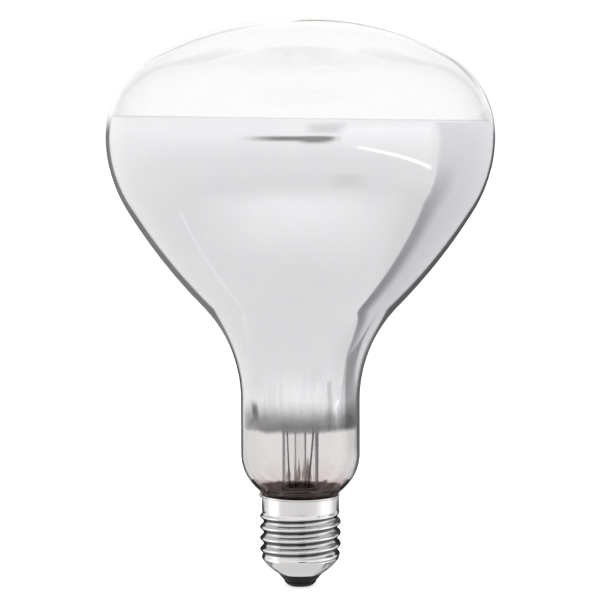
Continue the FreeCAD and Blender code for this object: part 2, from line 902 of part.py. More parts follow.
def swept_ring(path, radius):
    """The surface of a level circle whose centre follows a path: each pole is the sum of one of each."""
    ring = Part.Circle(FreeCAD.Vector(0, 0, 0), FreeCAD.Vector(0, 0, 1), radius).toBSpline()
    ring.setNotPeriodic()
    surface = Part.BSplineSurface()
    surface.buildFromPolesMultsKnots(
        [[centre + point for point in ring.getPoles()] for centre in path.getPoles()],
        path.getMultiplicities(),
        ring.getMultiplicities(),
        path.getKnots(),
        ring.getKnots(),
        False,
        False,
        path.Degree,
        ring.Degree,
        [ring.getWeights() for _ in path.getPoles()],
    )
    return surface.toShape()


def rolled_thread(doc):
    """The rolled part of the shell, as thick as its sheet."""
    path = Part.BSplineCurve()
    path.interpolate(thread_centres())
    outside = shell_radius().number
    outer = swept_ring(path, outside)
    inner = swept_ring(path, outside - SIZES["shell_sheet"]).reversed()
    rims = []
    for wall in (outer, inner):
        rounds = [edge for edge in wall.Edges if edge.isClosed()]
        rims.append(sorted(rounds, key=lambda edge: edge.CenterOfMass.z))
    bottom, top = [Part.Face([Part.Wire(a), Part.Wire(b)]) for a, b in zip(*rims)]
    shell = Part.makeShell([outer, inner, bottom, top])
    shell.sewShape()
    thread = doc.addObject("Part::Feature", "rolled_thread")
    thread.Shape = Part.makeSolid(shell)
    return thread


def shell_skirt(doc):
    """The plain top of the shell, with its lip turned out and a notch for the side lead."""
    outer = shell_radius()
    inner = outer - size("shell_sheet")
    rim = size("cap_rim_height")
    lip = rim - size("shell_sheet")
    corners = [
        (inner, size("thread_top")),
        (outer, size("thread_top")),
        (outer, lip - size("rim_lip")),
        (outer + size("rim_lip"), lip),
        (outer + size("rim_lip"), rim),
        (inner, rim),
    ]
    blank = turned(doc, "skirt_blank", corners)
    notch = doc.addObject("Part::Box", "rim_notch")
    notch.setExpression("Length", "Sizes.thread_depth * 2")
    notch.setExpression("Width", "Sizes.notch_width")
    notch.setExpression("Height", "Sizes.cap_rim_height - Sizes.side_lead_exit + Sizes.notch_width")
    notch.setExpression("Placement.Base.x", "-Sizes.thread_diameter / 2 - Sizes.thread_depth")
    notch.setExpression("Placement.Base.y", "-Sizes.notch_width / 2")
    notch.setExpression("Placement.Base.z", "Sizes.side_lead_exit - Sizes.notch_width / 2")
    return cut(doc, "shell_skirt", blank, notch)


def bowl_centre(radius):
    """Centre of the shell's bowed lower wall, which runs from the thread down to the mouth."""
    upper = (shell_radius().number, SIZES["thread_bottom"])
    lower = (SIZES["shell_mouth_diameter"] / 2, SIZES["shell_mouth_height"])
    middle = ((upper[0] + lower[0]) / 2, (upper[1] + lower[1]) / 2)
    back = math.sqrt(radius**2 - (math.dist(upper, lower) / 2) ** 2)
    return polar(middle, back, angle_from(lower, upper) + math.pi / 2)


def shell_bowl(doc):
    """The shell's bowed lower wall."""
    body = new_body(doc, "shell_bowl")
    outline = Outline(body, "bowl_outline")
    radius = size("shell_bow")
    sheet = size("shell_sheet")
    centre = bowl_centre(radius.number)
    top = size("thread_bottom")
    mouth = size("shell_mouth_height")
    arcs = []
    for bend in (radius, radius - sheet):
        first = math.asin((mouth.number - centre[1]) / bend.number)
        last = math.asin((top.number - centre[1]) / bend.number)
        arc = outline.arc(centre, bend.number, first, last)
        outline.measure("Radius", arc, bend)
        arcs.append((arc, polar(centre, bend.number, first), polar(centre, bend.number, last)))
    (outer, outer_foot, outer_top), (inner, inner_foot, inner_top) = arcs
    outline.place(outer, 1, half("shell_mouth_diameter"), mouth)
    outline.place(outer, 2, shell_radius(), top)
    outline.rule("Coincident", outer, 3, inner, 3)
    outline.measure("DistanceY", -1, 1, inner, 1, mouth)
    outline.measure("DistanceY", -1, 1, inner, 2, top)
    close_between(outline, outer, 1, inner, 1, [outer_foot, inner_foot])
    close_between(outline, outer, 2, inner, 2, [outer_top, inner_top])
    turn_body(body, outline)
    return body


def screw_shell(doc, skirt):
    """Skirt, rolled thread and bowl, all of one sheet."""
    shell = doc.addObject("Part::MultiFuse", "screw_shell")
    shell.Label = "screw_shell"
    shell.Shapes = [skirt, rolled_thread(doc), shell_bowl(doc)]
    shell.Refine = False
    return shell


def insulator(doc):
    """The black glass that fills the shell's mouth and stands out below it."""
    body = new_body(doc, "insulator")
    outline = Outline(body, "insulator_outline")
    gap = size("bond_gap")
    mouth = size("shell_mouth_height")
    top = size("insulator_top")
    bow = size("shell_bow") - size("shell_sheet") - gap
    centre = bowl_centre(SIZES["shell_bow"])
    first = math.asin((mouth.number - centre[1]) / bow.number)
    last = math.asin((top.number - centre[1]) / bow.number)
    wall_foot = polar(centre, bow.number, first)
    wall_top = polar(centre, bow.number, last)
    hole = half("contact_barrel_diameter") + gap
    foot = half("insulator_foot_diameter")
    bottom = size("insulator_bottom")
    edge = size("insulator_edge")
    ledge = mouth - gap
    points = [
        (hole.number, top.number),
        (hole.number, bottom.number),
        (foot.number - edge.number, bottom.number),
        (foot.number, bottom.number + edge.number),
        (foot.number, SIZES["insulator_foot_height"]),
        (SIZES["shell_mouth_diameter"] / 2, ledge.number),
        (wall_foot[0], ledge.number),
        wall_foot,
    ]
    edges = [outline.line(a, b) for a, b in zip(points, points[1:])]
    for before, after in zip(edges, edges[1:]):
        outline.rule("Coincident", before, 2, after, 1)
    wall = outline.arc(centre, bow.number, first, last)
    lid = outline.line(wall_top, points[0])
    outline.rule("Coincident", edges[-1], 2, wall, 1)
    outline.rule("Coincident", wall, 2, lid, 1)
    outline.rule("Coincident", lid, 2, edges[0], 1)
    outline.rule("Horizontal", lid)
    outline.place(edges[0], 1, hole, top)
    outline.place(edges[0], 2, hole, bottom)
    outline.place(edges[1], 2, foot - edge, bottom)
    outline.place(edges[2], 2, foot, bottom + edge)
    outline.place(edges[3], 2, foot, size("insulator_foot_height"))
    outline.place(edges[4], 2, half("shell_mouth_diameter"), ledge)
    outline.measure("DistanceY", -1, 1, edges[5], 2, ledge)
    outline.measure("DistanceY", -1, 1, wall, 1, mouth)
    outline.rule("Vertical", edges[6])
    outline.measure("Radius", wall, bow)
    mark = outline.arc(centre, SIZES["shell_bow"], first, last)
    outline.sketch.setConstruction(mark, True)
    outline.measure("Radius", mark, size("shell_bow"))
    outline.place(mark, 1, half("shell_mouth_diameter"), mouth)
    outline.place(mark, 2, shell_radius(), size("thread_bottom"))
    outline.rule("Coincident", mark, 3, wall, 3)
    turn_body(body, outline)
    return body


def centre_contact(doc):
    """The brass eyelet: a flat flange under the insulator and a barrel up its hole."""
    bore_radius = half("contact_barrel_bore")
    barrel = half("contact_barrel_diameter")
    flange = half("contact_diameter")
    over = size("insulator_bottom")
    under = over - size("contact_sheet")
    top = size("contact_barrel_top")
    corners = [
        (bore_radius, top),
        (bore_radius, under),
        (flange, under),
        (flange, over),
        (barrel, over),
        (barrel, top),
    ]
    return turned(doc, "centre_contact", corners)


def centre_solder(doc):
    """Fills the eyelet round the lead's end and stands below it as a flattened button."""
    gap = size("bond_gap")
    lead = half("lead_diameter") + gap
    plug = half("contact_barrel_bore") - gap
    wide = half("solder_diameter")
    flat = half("solder_flat_diameter")
    flange = size("insulator_bottom") - size("contact_sheet") - gap
    lead_end = size("lead_end_height") - gap
    top = size("solder_top")
    corners = [
        (AXIS, AXIS),
        (flat, AXIS),
        (wide, flange / 2),
        (wide, flange),
        (plug, flange),
        (plug, top),
        (lead, top),
        (lead, lead_end),
        (AXIS, lead_end),
    ]
    return turned(doc, "centre_solder", corners)


def side_solder(doc, wetted):
    """A bead on the rim over the side lead's end, shaped by the pieces that it wets."""
    bead = doc.addObject("Part::Sphere", "solder_ball")
    bead.setExpression("Radius", "Sizes.bead_diameter / 2")
    bead.setExpression("Placement.Base.x", "-" + shell_radius().text)
    bead.setExpression("Placement.Base.z", "Sizes.bead_height")
    for count, piece in enumerate(wetted, start=1):
        bead = cut(doc, f"bead_cut_{count}", bead, piece)
    bead.Label = "side_solder"
    return bead


def make_pieces(doc):
    envelope = glass_envelope(doc)
    skirt = shell_skirt(doc)
    side_lead = outer_lead_side(doc)
    cement = basing_cement(doc)
    pieces = [
        envelope,
        reflector_film(doc),
        glass_stem(doc),
        exhaust_tube(doc),
        arbor_rod(doc),
        filament_coil(doc),
        inner_lead(doc, "inner_lead_right", 1),
        inner_lead(doc, "inner_lead_left", -1),
        seal_wire(doc, "seal_wire_right", 1),
        seal_wire(doc, "seal_wire_left", -1),
        outer_lead_centre(doc),
        side_lead,
        cement,
        screw_shell(doc, skirt),
        insulator(doc),
        centre_contact(doc),
        centre_solder(doc),
        side_solder(doc, [skirt, envelope, side_lead, cement]),
    ]
    pieces += [support_wire(doc, count) for count in range(1, SUPPORTS + 1)]
    return pieces


def check(doc, pieces):
    """Stops the build if any object failed to compute."""
    for item in doc.Objects:
        failed = {"Invalid", "Error"} & set(item.State)
        if failed:
            raise RuntimeError(f"{item.Label} is {item.State}")
    for piece in pieces:
        if piece.Shape.isNull() or not piece.Shape.isValid() or not piece.Shape.Solids:
            raise RuntimeError(f"{piece.Label} has no valid solid")


def main():
    doc = FreeCAD.newDocument("heat_lamp")
    make_sheet(doc)
    pieces = make_pieces(doc)
    doc.recompute()
    check(doc, pieces)
    os.makedirs("parts", exist_ok=True)
    for piece in pieces:
        piece.Shape.exportStep(f"parts/{piece.Label}.step")


main()
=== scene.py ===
"""Looks of an infrared reflector heat lamp: blown glass, mirror film, filament mount and plated screw cap."""
import math

import bmesh
import bpy
import numpy as np
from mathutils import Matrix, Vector


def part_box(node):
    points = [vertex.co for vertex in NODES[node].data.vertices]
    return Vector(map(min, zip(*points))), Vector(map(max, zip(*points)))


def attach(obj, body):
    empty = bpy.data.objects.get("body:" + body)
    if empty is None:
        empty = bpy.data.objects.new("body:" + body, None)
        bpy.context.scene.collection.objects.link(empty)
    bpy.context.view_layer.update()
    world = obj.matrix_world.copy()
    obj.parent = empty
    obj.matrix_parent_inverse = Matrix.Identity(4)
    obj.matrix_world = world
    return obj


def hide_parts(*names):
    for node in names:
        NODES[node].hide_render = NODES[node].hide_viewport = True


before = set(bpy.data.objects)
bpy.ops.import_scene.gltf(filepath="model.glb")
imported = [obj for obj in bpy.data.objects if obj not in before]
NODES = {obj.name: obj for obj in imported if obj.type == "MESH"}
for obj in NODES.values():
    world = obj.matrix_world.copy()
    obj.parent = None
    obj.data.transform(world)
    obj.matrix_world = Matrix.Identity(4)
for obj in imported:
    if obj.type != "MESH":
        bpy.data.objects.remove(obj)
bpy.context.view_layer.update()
MM = 0.001

# Bulb outline, as in the solid
BULB_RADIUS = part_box("glass_envelope")[1].x
BULB_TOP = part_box("glass_envelope")[1].z
FOOT_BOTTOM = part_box("glass_envelope")[0].z
DOME_HEIGHT = 38.0 * MM
CROWN_RADIUS = 99.0 * MM
SHOULDER_SHARE = 0.532
FLANK_RADIUS = 180.0 * MM
THROAT_SHARE = 0.516
THROAT_HEIGHT = 61.2 * MM
NECK_RADIUS = 19.4 * MM
BASE_RADIUS = 14.9 * MM
BASE_HEIGHT = 43.7 * MM
BASE_ANGLE = math.radians(45)
FOOT_RADIUS = 11.4 * MM
SEAL_RADIUS = 2.0 * MM
GLASS_WALL = 1.0 * MM

# Radius about the axis in which the blown glass's unevenness dies away
CALM_RADIUS = 8.0 * MM

# Mirror film
FILM_GAP = 0.02 * MM
FILM_THICKNESS = 0.15 * MM
FILM_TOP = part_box("reflector_film")[1].z
FILM_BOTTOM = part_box("reflector_film")[0].z
FILM_SLANT = 0.0125

# Filament
COIL_RADIUS = 15.0 * MM
COIL_HEIGHT = 93.0 * MM
COIL_ANGLE = math.radians(270)
COIL_TAIL = 2.0 * MM
COIL_OUTER_RADIUS = 0.5 * MM
COIL_WIRE_RADIUS = 0.1 * MM
COIL_PITCH = 0.36 * MM
COIL_STEPS_PER_TURN = 12
COIL_WIRE_SIDES = 6

# Stains and painted shade in the foot: heights above the cap's tip, and how far their edges fade
CRUST_AND_SHADE_TOP = 32.2 * MM
CRUST_AND_SHADE_EDGE = 0.8 * MM
WARM_BOTTOM = 33.0 * MM
WARM_TOP = 39.0 * MM
BURNT_STEM_TOP = 33.4 * MM
BURNT_STEM_EDGE = 0.4 * MM
SMOKE_ROOT = 33.0 * MM
SMOKE_EDGE = 0.6 * MM
SMOKE_START = 34.0 * MM
SMOKE_FULL = 36.5 * MM
SMOKE_TONGUES = 9

# Thread of the cap
THREAD_ROOT = 12.0 * MM
THREAD_TOP = 25.6 * MM
THREAD_BOTTOM = 9.4 * MM

# Mesh fineness
OUTLINE_STEP = 1.2 * MM
SEGMENTS = 192
FILM_EDGE_STEPS = 6

# Photograph's camera
IMAGE_SIZE = 600
FOCAL_PIXELS = 2213
SENSOR = 36.0
CAMERA_PLACE = Vector((-0.13, -714.0, 152.4)) * MM
CAMERA_TILT = math.radians(4.7)

# Studio
STUDIO_CENTRE = Vector((0, 0, 0.12))
NECK_CENTRE = Vector((0, 0, 0.06))
CAP_CENTRE = Vector((0, 0, 0.018))
CAP_STRIP_POWER = 0.3
CAP_STRIP_WIDTH = 0.4
CAP_STRIP_HEIGHT = 0.6
CAP_STRIP_DISTANCE = 0.5
CAP_STRIP_AZIMUTH = 88
CAP_STRIP_ELEVATION = -14
CARD_DISTANCE = 2.0
FAR = (CARD_DISTANCE, CARD_DISTANCE)
NEARER = (1.9, 1.9)
NEAR_SPAN = 72 * MM
CARD_STEPS = 17
RING_STEPS = 6
RING_TURNS = 48
LIGHT_TURNS = 20
MIRRORED_TURNS = 8
FLOOR_REACH = 6.0

# Brightness of the tent of light, by elevation in degrees
SKY_LEVELS = [
    (-90, 0.85),
    (-70, 0.86),
    (-35, 0.87),
    (-15, 0.92),
    (0, 1.03),
    (5, 1.06),
    (90, 1.06),
]
SKY_STRENGTH = 1.2


# Mesh helpers


def new_piece(name, mesh, material, slot, *stands_for):
    """Links a mesh as a piece of the lamp that stands for CAD nodes."""
    piece = bpy.data.objects.new(name, mesh)
    bpy.context.scene.collection.objects.link(piece)
    mesh.materials.append(material)
    mesh.shade_smooth()
    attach(piece, "root")
    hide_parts(*stands_for)


def lathe(name, outlines, closed):
    """Turns one outline per azimuth about Z; outlines[azimuth][point] is a radius and a height."""
    turns, points = outlines.shape[:2]
    azimuths = np.linspace(0, 2 * math.pi, turns, endpoint=False)[:, None]
    radii, heights = outlines[..., 0], outlines[..., 1]
    places = np.stack((radii * np.cos(azimuths), radii * np.sin(azimuths), heights), axis=-1)
    faces = []
    for turn in range(turns):
        following = (turn + 1) % turns
        for point in range(points if closed else points - 1):
            below = (point + 1) % points
            corners = ((turn, point), (turn, below), (following, below), (following, point))
            faces.append([a * points + b for a, b in corners])
    mesh = bpy.data.meshes.new(name)
    mesh.from_pydata(places.reshape(-1, 3).tolist(), [], faces)
    weld(mesh)
    return mesh


def weld(mesh):
    """Joins the points that meet on the axis and turns every face outward."""
    work = bmesh.new()
    work.from_mesh(mesh)
    bmesh.ops.remove_doubles(work, verts=work.verts, dist=1e-6)
    bmesh.ops.recalc_face_normals(work, faces=work.faces)
    work.to_mesh(mesh)
    work.free()


def tube(name, path, radius, sides):
    """A round wire along a path of points, with its ends closed."""
    ahead = np.gradient(path, axis=0)
    ahead /= np.linalg.norm(ahead, axis=1)[:, None]
    across = np.cross(ahead, (0, 0, 1))
    across /= np.linalg.norm(across, axis=1)[:, None]
    upward = np.cross(across, ahead)
    rows = []
    for angle in np.linspace(0, 2 * math.pi, sides, endpoint=False):
        rows.append(path + radius * (math.cos(angle) * across + math.sin(angle) * upward))
    places = np.stack(rows, axis=1)
    count = len(path)
    faces = []
    for step in range(count - 1):
        for side in range(sides):
            beside = (side + 1) % sides
            corners = ((step, side), (step, beside), (step + 1, beside), (step + 1, side))
            faces.append([a * sides + b for a, b in corners])
    faces.append(list(range(sides)))
    faces.append([(count - 1) * sides + side for side in range(sides)])
    mesh = bpy.data.meshes.new(name)
    mesh.from_pydata(places.reshape(-1, 3).tolist(), [], faces)
    weld(mesh)
    return mesh


# Bulb outline


def arc(centre, radius, first, last):
    """Points along an arc, both ends included."""
    count = max(3, round(abs(last - first) * radius / OUTLINE_STEP))
    angles = np.linspace(first, last, count + 1)
    return np.column_stack((centre[0] + radius * np.cos(angles), centre[1] + radius * np.sin(angles)))


def straight(start, end):
    count = max(1, round(math.dist(start, end) / OUTLINE_STEP))
    return np.linspace(start, end, count + 1)


def chain(*runs):
    """Joins runs of points whose ends meet."""
    return np.concatenate([runs[0]] + [run[1:] for run in runs[1:]])


def angle_from(centre, point):
    return math.atan2(point[1] - centre[1], point[0] - centre[0])


class BulbOutline:
    """The bulb's arcs, a constant inset inside the glass's outer face."""

    def __init__(self, inset):
        widest = BULB_TOP - DOME_HEIGHT
        depth = widest - THROAT_HEIGHT
        brow = (2 * CROWN_RADIUS * DOME_HEIGHT - DOME_HEIGHT**2 - BULB_RADIUS**2) / (
            2 * CROWN_RADIUS - 2 * BULB_RADIUS
        )
        self.crown = CROWN_RADIUS - inset
        self.brow = brow - inset
        self.shoulder = depth * SHOULDER_SHARE - inset
        self.flank = FLANK_RADIUS - inset
        self.throat = depth * THROAT_SHARE + inset
        self.base = BASE_RADIUS - inset
        self.seal = SEAL_RADIUS + inset
        self.neck = NECK_RADIUS - inset
        self.foot = FOOT_RADIUS - inset
        reach = BULB_RADIUS - inset
        self.crown_centre = (0, BULB_TOP - CROWN_RADIUS)
        self.brow_centre = (reach - self.brow, widest)
        self.shoulder_centre = (reach - self.shoulder, widest)
        self.throat_centre = (self.neck + self.throat, THROAT_HEIGHT)
        self.flank_centre = self.find_flank_centre()
        self.base_centre = (self.neck - self.base, BASE_HEIGHT)
        self.seal_centre = (self.foot + self.seal, self.find_seal_height())

    def find_flank_centre(self):
        """Centre of the arc that runs into both the shoulder and the throat."""
        to_shoulder = self.flank - self.shoulder
        to_throat = self.flank + self.throat
        span = math.dist(self.shoulder_centre, self.throat_centre)
        along = (to_shoulder**2 - to_throat**2 + span**2) / (2 * span)
        aside = math.sqrt(to_shoulder**2 - along**2)
        heading = angle_from(self.shoulder_centre, self.throat_centre)
        across = heading - math.pi / 2
        return (
            self.shoulder_centre[0] + along * math.cos(heading) + aside * math.cos(across),
            self.shoulder_centre[1] + along * math.sin(heading) + aside * math.sin(across),
        )

    def find_seal_height(self):
        """Height at which the cone under the neck has run into the straight foot."""
        radii = self.base + self.seal
        cone_reach = self.neck - self.foot - radii * (1 - math.cos(BASE_ANGLE))
        return BASE_HEIGHT - radii * math.sin(BASE_ANGLE) - cone_reach / math.tan(BASE_ANGLE)

    def face(self):
        """The clear face, from the axis to the widest level."""
        turn = angle_from(self.crown_centre, self.brow_centre)
        return chain(
            arc(self.crown_centre, self.crown, math.pi / 2, turn),
            arc(self.brow_centre, self.brow, turn, 0),
        )

    def reflector(self):
        """Shoulder, flank and throat, from the widest level to the neck."""
        upper = angle_from(self.flank_centre, self.shoulder_centre)
        lower = angle_from(self.flank_centre, self.throat_centre)
        return chain(
            arc(self.shoulder_centre, self.shoulder, 0, upper),
            arc(self.flank_centre, self.flank, upper, lower),
            arc(self.throat_centre, self.throat, lower + math.pi, math.pi),
        )

    def foot_end(self):
        """Neck, rounded base, cone and the straight foot that the cap hides."""
        base = arc(self.base_centre, self.base, 0, -BASE_ANGLE)
        seal = arc(self.seal_centre, self.seal, math.pi - BASE_ANGLE, math.pi)
        return chain(
            straight((self.neck, THROAT_HEIGHT), (self.neck, BASE_HEIGHT)),
            base,
            straight(base[-1], seal[0]),
            seal,
            straight(seal[-1], (self.foot, FOOT_BOTTOM)),
        )


def unevenness(azimuth, height):
    """How far blown glass lies inside its true outline, always inward."""
    waves = (
        0.024 * np.sin(2 * azimuth + 0.7 + height / (19 * MM))
        + 0.018 * np.sin(3 * azimuth - 1.1 - height / (11 * MM))
        + 0.010 * np.sin(5 * azimuth + 2.3 + height / (7 * MM))
        + 0.014 * np.sin(height / (8 * MM) + 0.4)
    )
    return (0.066 - waves) * MM


def blown(outline):
    """Repeats an outline round the axis with the glass's unevenness, which dies away at the axis."""
    azimuths = np.linspace(0, 2 * math.pi, SEGMENTS, endpoint=False)
    rounds = np.repeat(outline[None], SEGMENTS, axis=0)
    dent = unevenness(azimuths[:, None], outline[None, :, 1])
    off_axis = np.clip(outline[None, :, 0] / CALM_RADIUS, 0, 1)
    rounds[..., 0] -= dent * off_axis
    return rounds


def bulb_glass(material):
    """Outer and inner wall of the bulb as one closed skin."""
    walls = []
    for inset in (0, GLASS_WALL):
        curve = BulbOutline(inset)
        walls.append(blown(chain(curve.face(), curve.reflector(), curve.foot_end())))
    outer, inner = walls
    mesh = lathe("bulb_glass", np.concatenate((outer, inner[:, ::-1]), axis=1), closed=False)
    new_piece("bulb_glass", mesh, material, "clear_glass", "glass_envelope")


def film_wall(inset):
    """One side of the film, whose upper edge lies on a plane that leans a little."""
    curve = BulbOutline(inset)
    azimuths = np.linspace(0, 2 * math.pi, SEGMENTS, endpoint=False)
    lower = chain(curve.reflector(), straight((curve.neck, THROAT_HEIGHT), (curve.neck, FILM_BOTTOM)))
    rounds = []
    for azimuth in azimuths:
        edge = FILM_TOP - FILM_SLANT * BULB_RADIUS * math.cos(azimuth)
        rise = math.asin((edge - curve.brow_centre[1]) / curve.brow)
        angles = np.linspace(rise, 0, FILM_EDGE_STEPS + 1)
        upper = np.column_stack(
            (
                curve.brow_centre[0] + curve.brow * np.cos(angles),
                curve.brow_centre[1] + curve.brow * np.sin(angles),
            )
        )
        outline = chain(upper, lower)
        outline[:, 0] -= unevenness(azimuth, outline[:, 1])
        rounds.append(outline)
    return np.array(rounds)


def mirror_film(material):
    outer = film_wall(GLASS_WALL + FILM_GAP)
    inner = film_wall(GLASS_WALL + FILM_GAP + FILM_THICKNESS)
    mesh = lathe("mirror_film", np.concatenate((outer, inner[:, ::-1]), axis=1), closed=True)
    new_piece("mirror_film", mesh, material, "aluminium_film", "reflector_film")


def coiled_filament(material):
    """The finely wound coil, bent round the reflector's focus with its gap to the front."""
    tail = COIL_TAIL / COIL_RADIUS
    start = math.pi / 2 - COIL_ANGLE / 2 - tail
    sweep = COIL_ANGLE + 2 * tail
    turns = round(sweep * COIL_RADIUS / COIL_PITCH)
    along = np.linspace(0, 1, turns * COIL_STEPS_PER_TURN + 1)
    azimuth = start + sweep * along
    winding = 2 * math.pi * turns * along
    coil = COIL_OUTER_RADIUS - COIL_WIRE_RADIUS
    radius = COIL_RADIUS + coil * np.cos(winding)
    path = np.column_stack(
        (radius * np.cos(azimuth), radius * np.sin(azimuth), COIL_HEIGHT + coil * np.sin(winding))
    )
    mesh = tube("coiled_filament", path, COIL_WIRE_RADIUS, COIL_WIRE_SIDES)
    new_piece("coiled_filament", mesh, material, "tungsten", "filament_coil")


# Materials


class Shader:
    """Builds one material's nodes round its Principled shader."""

    def __init__(self, name, **values):
        self.material = bpy.data.materials.new(name)
        self.material.use_nodes = True
        self.tree = self.material.node_tree
        self.surface = self.tree.nodes["Principled BSDF"]
        self.place = self.add("ShaderNodeTexCoord").outputs["Object"]
        for socket, value in values.items():
            self.surface.inputs[socket.replace("_", " ")].default_value = value

    def add(self, kind, **settings):
        node = self.tree.nodes.new(kind)
        for name, value in settings.items():
            setattr(node, name, value)
        return node

    def feed(self, socket, value):
        """Sets a socket from another socket or from a plain value."""
        if isinstance(value, bpy.types.NodeSocket):
            self.tree.links.new(value, socket)
        else:
            socket.default_value = value

    def drive(self, socket, value):
        self.feed(self.surface.inputs[socket], value)

    def axis(self, name):
        """A coordinate of the surface in the lamp's own metres."""
        split = self.add("ShaderNodeSeparateXYZ")
        self.feed(split.inputs[0], self.place)
        return split.outputs[name]

    def reach(self):
        """Distance of the surface from the lamp's axis."""
        flattened = self.add("ShaderNodeVectorMath", operation="MULTIPLY")
        self.feed(flattened.inputs[0], self.place)
        flattened.inputs[1].default_value = (1, 1, 0)
        length = self.add("ShaderNodeVectorMath", operation="LENGTH")
        self.feed(length.inputs[0], flattened.outputs[0])
        return length.outputs["Value"]

    def facing(self):
        """How far the surface faces up, from -1 to 1."""
        geometry = self.add("ShaderNodeNewGeometry")
        split = self.add("ShaderNodeSeparateXYZ")
        self.feed(split.inputs[0], geometry.outputs["Normal"])
        return split.outputs["Z"]

    def noise(self, size, stretch=(1, 1, 1), detail=3.0):
        """Noise with features of about the given size, longer along an axis that is stretched."""
        mapping = self.add("ShaderNodeMapping")
        self.feed(mapping.inputs["Vector"], self.place)
        mapping.inputs["Scale"].default_value = [1 / length for length in stretch]
        texture = self.add("ShaderNodeTexNoise")
        self.feed(texture.inputs["Vector"], mapping.outputs["Vector"])
        texture.inputs["Scale"].default_value = 1 / size
        texture.inputs["Detail"].default_value = detail
        return texture.outputs["Fac"]

    def math(self, operation, first, second):
        node = self.add("ShaderNodeMath", operation=operation)
        self.feed(node.inputs[0], first)
        self.feed(node.inputs[1], second)
        return node.outputs[0]

    def ease(self, value, start, end, first, last):
        """Goes smoothly from first to last while the value goes from start to end."""
        node = self.add("ShaderNodeMapRange", interpolation_type="SMOOTHSTEP")
        for socket, number in zip(node.inputs[:5], (value, start, end, first, last)):
            self.feed(socket, number)
        return node.outputs[0]

    def mix(self, share, first, second):
        """A colour between two others."""
        node = self.add("ShaderNodeMix", data_type="RGBA")
        self.feed(node.inputs["Factor"], share)
        self.feed(node.inputs["A"], first)
        self.feed(node.inputs["B"], second)
        return node.outputs["Result"]

    def bump(self, height, depth):
        """Bends the surface's normals as if the height, from 0 to 1, stood that deep in metres."""
        node = self.add("ShaderNodeBump")
        node.inputs["Strength"].default_value = 1.0
        node.inputs["Distance"].default_value = depth
        self.feed(node.inputs["Height"], height)
        self.drive("Normal", node.outputs["Normal"])


def grey(level, warmth=0.0):
    """An opaque colour near grey; warmth moves it from blue to red."""
    return (level * (1 + warmth), level, level * (1 - warmth), 1)


def crust_and_painted_shade(shader, height):
    """Share and colour of the dark crust on the foot's inner wall, ragged at its top: partly a burnt stain
    and partly painted shade of the dim inside of the cap, and darker in front as painted shade.
    """
    ragged = shader.math("ADD", height, shader.math("MULTIPLY", shader.noise(3 * MM), -2.4 * MM))
    ragged = shader.math("ADD", ragged, shader.math("MULTIPLY", shader.axis("Y"), 0.05))
    low = shader.ease(ragged, CRUST_AND_SHADE_TOP - CRUST_AND_SHADE_EDGE, CRUST_AND_SHADE_TOP, 1.0, 0.0)
    # On the cone's outer face, which slopes by 45 degrees, radius less height is the same everywhere
    cone = NECK_RADIUS - BASE_RADIUS - BASE_HEIGHT + BASE_RADIUS * math.sqrt(2)
    from_cone = shader.math("SUBTRACT", shader.reach(), height)
    inside = shader.ease(from_cone, cone - 0.9 * GLASS_WALL, cone - 0.5 * GLASS_WALL, 1.0, 0.0)
    # Painted shade: the crust turns darker on the side towards the front.
    front_painted_shade = shader.ease(shader.axis("Y"), -10 * MM, -2 * MM, 1.0, 0.0)
    colour = shader.mix(front_painted_shade, (0.34, 0.26, 0.25, 1), (0.06, 0.04, 0.037, 1))
    return shader.math("MULTIPLY", inside, low), colour


def bulb_material():
    """Clear glass, tinted grey and warm inside the neck as painted shade of the dim inside, with a dark crust
    in its foot that is partly a burnt stain and partly painted shade.
    """
    shader = Shader("clear_glass", Roughness=0.0, IOR=1.42)
    streaks = shader.noise(6 * MM, stretch=(1, 1, 3))
    clear = shader.mix(streaks, grey(0.965, -0.003), grey(0.98))
    height = shader.axis("Z")
    # Painted shade: the neck's glass is tinted grey, and warm near the foot, for the dim inside seen through
    # it.
    neck_painted_shade = shader.mix(streaks, (0.84, 0.825, 0.825, 1), (0.88, 0.865, 0.86, 1))
    warm_painted_shade = shader.mix(streaks, (0.8, 0.72, 0.7, 1), (0.86, 0.79, 0.77, 1))
    neck_painted_shade = shader.mix(shader.ease(height, WARM_BOTTOM, WARM_TOP, 0.0, 1.0), warm_painted_shade, neck_painted_shade)
    neck = shader.ease(height, FILM_BOTTOM + 1 * MM, FILM_BOTTOM + 9 * MM, 1.0, 0.0)
    glass = shader.mix(neck, clear, neck_painted_shade)
    # Dark opaque crust in the foot, partly a burnt stain and partly painted shade.
    dark_foot, crust_and_shade_colour = crust_and_painted_shade(shader, height)
    shader.drive("Base Color", shader.mix(dark_foot, glass, crust_and_shade_colour))
    shader.drive("Transmission Weight", shader.ease(dark_foot, 0.0, 1.0, 1.0, 0.0))
    shader.bump(shader.noise(5 * MM), 0.003 * MM)
    return shader.material


def stem_smoke(shader, height):
    """Tongues of smoke round the stem, each with a length of its own."""
    around = shader.math("ARCTAN2", shader.axis("Y"), shader.axis("X"))
    turns = shader.math("MULTIPLY", around, SMOKE_TONGUES / (2 * math.pi))
    tongue = shader.math("PINGPONG", turns, 0.5)
    length = shader.ease(shader.noise(4 * MM, stretch=(1, 1, 9)), 0.3, 0.7, 6 * MM, 20 * MM)
    rooted = shader.math("SUBTRACT", height, shader.math("MULTIPLY", tongue, length))
    smoke = shader.ease(rooted, SMOKE_ROOT - SMOKE_EDGE, SMOKE_ROOT, 1.0, 0.0)
    return shader.math("MULTIPLY", smoke, shader.ease(height, SMOKE_START, SMOKE_FULL, 0.0, 1.0))


